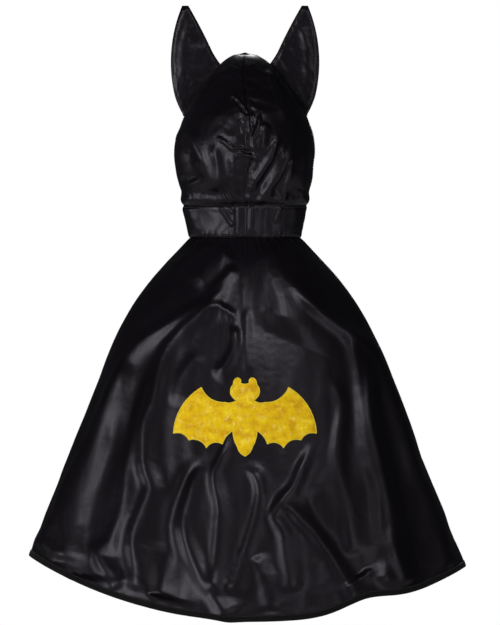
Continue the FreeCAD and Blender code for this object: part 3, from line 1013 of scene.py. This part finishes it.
def ear_outline(side):
    """The ear's two long edges, base to tip, as points across and up: inner edge, then outer edge."""
    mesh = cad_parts[f"ear_{side}_back"].data
    places = np.array([v.co for v in mesh.vertices])
    points = np.unique(np.round(places[:, [0, 2]] / MM, 2), axis=0) * MM
    points[:, 0] = np.abs(points[:, 0])
    tip_level = points[:, 1].max()
    tips = points[points[:, 1] > tip_level - 0.1 * MM]
    inner_tip, outer_tip = tips[tips[:, 0].argmin()], tips[tips[:, 0].argmax()]
    inner_base = points[points[:, 0].argmin()]
    outer_base = points[points[:, 1].argmin()]
    base_middle, tip_middle = (inner_base + outer_base) / 2, (inner_tip + outer_tip) / 2
    along = tip_middle - base_middle
    sign = 1 if side == "right" else -1
    edges = []
    for first, last, outer in ((inner_base, inner_tip, False), (outer_base, outer_tip, True)):
        offset = points - base_middle
        turn = along[0] * offset[:, 1] - along[1] * offset[:, 0]
        chosen = points[(turn < 0) == outer]
        line = last - first
        order = (chosen - first) @ line / (line @ line)
        chosen = chosen[(order > 0.01) & (order < 0.99)]
        chosen = chosen[np.argsort((chosen - first) @ line)]
        edge = np.vstack([first, chosen, last])
        run = steps_along(edge)
        edges.append(at_steps(np.linspace(0, run[-1], 61), run, edge) * [sign, 1])
    return edges


def ear_base(side):
    """The two ends of the seam that sews an ear to the hood."""
    inner, outer = ear_outline(side)
    plane = sum(corner.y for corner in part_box(f"ear_{side}_stiffener")) / 2
    return np.array([inner[0][0], plane, inner[0][1]]), np.array([outer[0][0], plane, outer[0][1]])


def distance_to_line(place, base):
    """How far points seen from behind are from an ear's seam."""
    a, b = base[0][[0, 2]], base[1][[0, 2]]
    share = np.clip(((place - a) @ (b - a)) / ((b - a) @ (b - a)), 0, 1)
    return np.linalg.norm(place - (a + share[..., None] * (b - a)), axis=-1)


def make_ear(side, satin):
    """A padded ear: two satin faces over foam, turned at the edges, sewn into the hood's seam."""
    inner, outer = ear_outline(side)
    base = ear_base(side)
    plane = base[0][1]
    out = unit(np.cross(base[1] - base[0], (0, 1, 0)))
    out *= np.sign(out[2])
    root = -out[[0, 2]] * EAR_ROOT
    share = np.linspace(0, 1, 41)[None, :, None]
    sewn = np.clip(1 - np.linspace(0, 1, len(inner))[:, None] / 0.2, 0, 1) ** 2
    inner, outer = (edge - out[[0, 2]] * EAR_GAP * sewn for edge in (inner, outer))
    inner_edge = np.vstack([inner[:1] + root + (outer[0] - inner[0]) * 0.06, inner])
    outer_edge = np.vstack([outer[:1] + root - (outer[0] - inner[0]) * 0.12, outer])
    flat = inner_edge[:, None] * (1 - share) + outer_edge[:, None] * share
    width = np.linalg.norm(outer_edge - inner_edge, axis=-1)[:, None]
    gap = np.minimum(share[..., 0], 1 - share[..., 0]) * width
    rise = np.clip(gap / 0.012, 0, 1)
    puff = EAR_HALF * np.sqrt(1 - (1 - rise) ** 2) + 0.8 * MM * (gap < 0.0045)
    up = np.linspace(0, 1, len(flat))[:, None]
    puff = puff * np.clip((1.0 - up) / 0.05, 0.12, 1) * np.clip(0.55 + up * 3, 0, 1)
    faces = []
    sign = 1 if side == "right" else -1
    for facing, seed in ((-1, 21), (1, 22)):
        place = np.stack([flat[..., 0], plane + facing * puff, flat[..., 1]], axis=-1)
        relief = waves(seed + sign, flat, 0.05) * 0.7 * MM + fold(flat * [sign, 1], EAR_DENT, 9, 1.6)
        place[..., 1] += facing * relief * np.clip(gap / 0.01, 0, 1)
        hold = np.full(flat.shape[:2], 0.15)
        hold[:, [0, 1, -2, -1]] = 1
        hold[[0, 1, -1]] = 1
        faces.append(settle(place, hold, frames=8, grow=0.01, bend=3.0, keep=0.1))
    back, front = faces
    loop = np.concatenate([back, front[:, -2:0:-1], back[:, :1]], axis=1)
    loop = refine(loop[::-1])
    loop[:, -1] = loop[:, 0]
    ear = grid_object(f"ear_{side}", loop, satin)
    face_outwards(ear, weld=0.02 * MM, close=True)
    ear.data.polygons.foreach_set("use_smooth", [True] * len(ear.data.polygons))
    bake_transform(ear)
    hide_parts(f"ear_{side}_back", f"ear_{side}_stiffener", f"ear_{side}_front")


# ---------------------------------------------------------------- the emblem

def sheet_outline(name):
    """The edge of a CAD sheet on the cape's back, in order, seen from behind."""
    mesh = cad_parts[name].data
    keys = [tuple(np.round(np.array(v.co) / (0.01 * MM)).astype(int)) for v in mesh.vertices]
    used = {}
    for polygon in mesh.polygons:
        if polygon.normal.y > -0.5:
            continue
        ring = [keys[v] for v in polygon.vertices]
        for a, b in zip(ring, ring[1:] + ring[:1]):
            pair = tuple(sorted((a, b)))
            used[pair] = used.get(pair, 0) + 1
    beside = {}
    for (a, b), count in used.items():
        if count == 1:
            beside.setdefault(a, []).append(b)
            beside.setdefault(b, []).append(a)
    start = min(beside)
    path, previous, current = [start], None, start
    while True:
        ahead = [k for k in beside[current] if k != previous]
        previous, current = current, ahead[0]
        if current == start:
            break
        path.append(current)
    return np.array(path)[:, [0, 2]] * 0.01 * MM


def spaced(outline, pitch):
    """A closed outline with points no further apart than a pitch, its corners kept."""
    made = []
    for a, b in zip(outline, np.roll(outline, -1, axis=0)):
        steps = max(1, int(round(np.linalg.norm(b - a) / pitch)))
        made.extend(a + (b - a) * k / steps for k in range(steps))
    return np.array(made)


def edge_distance(place, outline):
    """How far points are from a closed outline, and which are inside it."""
    gap = np.full(len(place), np.inf)
    inside = np.zeros(len(place), bool)
    for a, b in zip(outline, np.roll(outline, -1, axis=0)):
        step = b - a
        share = np.clip(((place - a) @ step) / max(step @ step, 1e-12), 0, 1)
        gap = np.minimum(gap, np.linalg.norm(place - (a + share[:, None] * step), axis=-1))
        crosses = (a[1] > place[:, 1]) != (b[1] > place[:, 1])
        with np.errstate(divide="ignore", invalid="ignore"):
            at = a[0] + (place[:, 1] - a[1]) * step[0] / step[1]
        inside ^= crosses & (place[:, 0] < at)
    return gap, inside


def onto(tree, place, rise):
    """Points seen from behind, laid on the cape's back at heights above it, and the normals there."""
    laid, outs = [], []
    for (x, z), height in zip(place, rise):
        hit, normal, _, _ = tree.ray_cast(Vector((x, -1, z)), Vector((0, 1, 0)))
        normal = normal if normal.y < 0 else -normal
        laid.append(np.array(hit + normal * height))
        outs.append(np.array(normal))
    return np.array(laid), np.array(outs)


def make_bat(cape, velvet, thread):
    """The emblem: crushed velvet laid on the back, its edge covered in close satin stitch."""
    tree = BVHTree.FromPolygons(cape.reshape(-1, 3).tolist(), grid_faces(cape))
    outline = spaced(sheet_outline("bat_applique"), 2 * MM)
    low, high = outline.min(axis=0), outline.max(axis=0)
    pitch = 2.1 * MM
    across, up = np.meshgrid(np.arange(low[0], high[0], pitch), np.arange(low[1], high[1], pitch))
    across[::2] += pitch / 2
    field = np.stack([across.ravel(), up.ravel()], axis=-1)
    gap, inside = edge_distance(field, outline)
    field = field[inside & (gap > 0.9 * MM)]
    points = [Vector(p) for p in np.vstack([outline, field])]
    count = len(outline)
    edges = [(k, (k + 1) % count) for k in range(count)]
    made, _, triangles = geometry.delaunay_2d_cdt(points, edges, [], 1, 1e-7)[:3]
    place = np.array([tuple(p) for p in made])
    gap, _ = edge_distance(place, outline)
    near = np.clip(gap / (2.4 * MM), 0, 1)
    crush = waves(31, place, 0.016) * 0.45 + waves(32, place, 0.034) * 0.5
    rise = 0.5 * MM + 1.1 * MM * np.sqrt(near) + crush * MM * near
    laid, _ = onto(tree, place, rise)
    bat = make_object("bat_emblem", laid, [tuple(t) for t in triangles], velvet)
    bm = bmesh.new()
    bm.from_mesh(bat.data)
    bmesh.ops.recalc_face_normals(bm, faces=bm.faces)
    if sum(f.normal.y for f in bm.faces) > 0:
        bmesh.ops.reverse_faces(bm, faces=bm.faces)
    bm.to_mesh(bat.data)
    bm.free()
    thicken(bat, None, 0.4 * MM)
    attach(bat, "cape")
    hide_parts("bat_applique")
    rim, out = onto(tree, outline, np.full(count, 0.7 * MM))
    stitch = satin_stitch("bat_stitching", rim, out, thread)
    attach(stitch, "cape")


def satin_stitch(name, path, out, material, width=1.2 * MM, pitch=0.7 * MM):
    """Close stitches across a closed edge: a low rounded ridge with a rib for each thread."""
    path, out = np.vstack([path, path[:1]]), np.vstack([out, out[:1]])
    run = steps_along(path)
    count = int(run[-1] / pitch) * 2
    at = np.linspace(0, run[-1], count, endpoint=False)
    centre, normal = at_steps(at, run, path), unit(at_steps(at, run, out))
    side = unit(np.cross(np.roll(centre, -2, axis=0) - np.roll(centre, 2, axis=0), normal))
    rib = np.where(np.arange(count) % 2 == 0, 1.0, 0.72)[:, None]
    section = [(-1.0, -0.55), (-0.75, 0.35), (-0.3, 0.8), (0.3, 0.8), (0.75, 0.35), (1.0, -0.55)]
    rings = np.stack([centre + side * across * width * rib + normal * up * width * 0.9 * rib
                      for across, up in section], axis=1)
    faces = tube_faces(count, len(section), closed=True)
    piece = make_object(name, rings.reshape(-1, 3), faces, material)
    face_outwards(piece)
    return piece


# ---------------------------------------------------------------- the strap, its patches and the label

def on_band(across, level, offset):
    """A grid of points laid on the front of the neck band, an offset outside it."""
    wide, deep, middle = band_shape()(level)
    depth = middle + (deep + offset) * np.sqrt(np.clip(1 - (across / (wide + offset)) ** 2, 0, 1))
    return np.stack([across, depth, level], axis=-1)[:, ::-1]


def rectangle(left, right, low, high, columns, rows):
    """Points over a rectangle from its top left: how far across, and the level."""
    share = np.linspace(0, 1, columns)[None, :]
    down = np.linspace(0, 1, rows)[:, None]
    return left + (right - left) * share + 0 * down, high + (low - high) * down + 0 * share


def make_patch(name, node, body, offset, material, corner=4 * MM):
    """A fastener patch that follows the band's curve where a CAD node lies, with rounded corners."""
    low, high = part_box(node)
    across, level = rectangle(low.x, high.x, low.z, high.z, 41, 17)
    wide_half, tall_half = (high.x - low.x) / 2, (high.z - low.z) / 2
    u, v = (across - (low.x + high.x) / 2) / wide_half, (level - (low.z + high.z) / 2) / tall_half
    past_u = np.maximum(np.abs(u) * wide_half - (wide_half - corner), 0) / corner
    past_v = np.maximum(np.abs(v) * tall_half - (tall_half - corner), 0) / corner
    pull = np.where((past_u > 0) & (past_v > 0),
                    np.maximum(past_u, past_v) / np.maximum(np.hypot(past_u, past_v), 1e-9), 1.0)
    across = across - np.sign(u) * past_u * corner * (1 - pull)
    level = level - np.sign(v) * past_v * corner * (1 - pull)
    grid = on_band(across, level, offset)
    edge = np.minimum(wide_half * (1 - np.abs(u)), tall_half * (1 - np.abs(v)))[:, ::-1]
    grid = grid - normals(grid) * (0.35 * MM * np.exp(-(edge / MM) ** 2))[..., None]
    piece = grid_object(name, grid, material)
    thicken(piece, None, PLATE)
    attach(piece, body)
    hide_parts(node)


def make_strap(satin):
    """The neck strap: satin, folded and topstitched, its end rounded."""
    base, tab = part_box("closure_tab_base"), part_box("closure_tab")
    sewn = rectangle(base[0].x, STRAP_HINGE, base[0].z, base[1].z, 41, 25)
    free = rectangle(STRAP_HINGE, tab[1].x, tab[0].z, tab[1].z, 41, 25)
    across, level = (np.concatenate([near, far[:, 1:]], axis=1) for near, far in zip(sewn, free))
    climb = smooth_step((across - base[1].x) / (STRAP_HINGE + 0.004 - base[1].x))
    offset = STRAP_BASE_RISE + (STRAP_RISE - STRAP_BASE_RISE) * climb
    middle_level, half = (tab[0].z + tab[1].z) / 2, (tab[1].z - tab[0].z) / 2
    past = np.clip((across - tab[1].x) / STRAP_ROUND + 1, 0, 1)
    level = middle_level + (level - middle_level) * (0.35 + 0.65 * np.sqrt(np.clip(1 - past ** 2, 0.2, 1)))
    edge = np.minimum(tab[1].x - across, across - base[0].x)
    edge = np.minimum(half - np.abs(level - middle_level), edge)
    puff = 0.5 * MM * np.clip(edge / 0.003, 0, 1) - 0.5 * MM * np.exp(-((edge - 0.004) / 0.0008) ** 2)
    offset = offset + puff + 0.25 * MM * waves(41, np.stack([across, level], axis=-1), 0.02)
    strap = grid_object("neck_strap", on_band(across, level, offset), satin)
    thicken(strap, None, PLATE)
    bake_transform(strap)
    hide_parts("closure_tab", "closure_tab_base")


def make_label(ribbon):
    """A blank care label: one ribbon folded in half, its ends caught in the neck seam."""
    low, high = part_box("care_label")
    half, middle, tall = (high.x - low.x) / 2, (low.y + high.y) / 2, high.z - low.z
    fall = np.linspace(0, 1, 22)
    turn = np.linspace(0, math.pi, 7)[1:-1]
    radius = 0.55 * MM
    front = [(middle - radius, high.z - tall * f * 0.97) for f in fall]
    bend = [(middle - radius * math.cos(t), high.z - tall * 0.97 - radius * math.sin(t)) for t in turn]
    back = [(middle + radius, z) for _, z in front[::-1]]
    path = np.array(front + bend + back)
    across = np.linspace(-half, half, 25)
    grid = np.stack(np.broadcast_arrays(across[None, :], path[:, :1], path[:, 1:]), axis=-1).copy()
    grid[..., 1] += 0.8 * MM * np.sin(grid[..., 0] * 120) * np.clip((high.z - grid[..., 2]) / tall, 0, 1)
    label = grid_object("label_ribbon", grid, ribbon)
    thicken(label, None, 0.15 * MM)
    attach(label, "cape")
    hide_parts("care_label")


# ---------------------------------------------------------------- assembly

make_camera()
make_studio()
satin = satin_material()
reverse = satin_material("black_satin_reverse", dull=True)
tape = tape_material()
velvet = velvet_material()
black_thread = thread_material("black_thread", (0.014, 0.012, 0.013))
yellow_thread = thread_material("yellow_thread", (0.95, 0.70, 0.01))
hooks = fastener_material("hook_tape", 1500.0, 0.0006)
loops = fastener_material("loop_tape", 620.0, 0.0004)
ribbon = ribbon_material()

cape = make_skirt(satin, reverse, tape, black_thread)
make_hood(satin, reverse, tape, black_thread)
make_band(satin, reverse, black_thread)
for side in ("left", "right"):
    make_ear(side, satin)
make_bat(cape, velvet, yellow_thread)
make_strap(satin)
make_patch("loop_plate", "loop_patch", "cape", LOOP_RISE, loops)
make_patch("hook_plate", "hook_patch", "strap", HOOK_RISE, hooks)
make_label(ribbon)
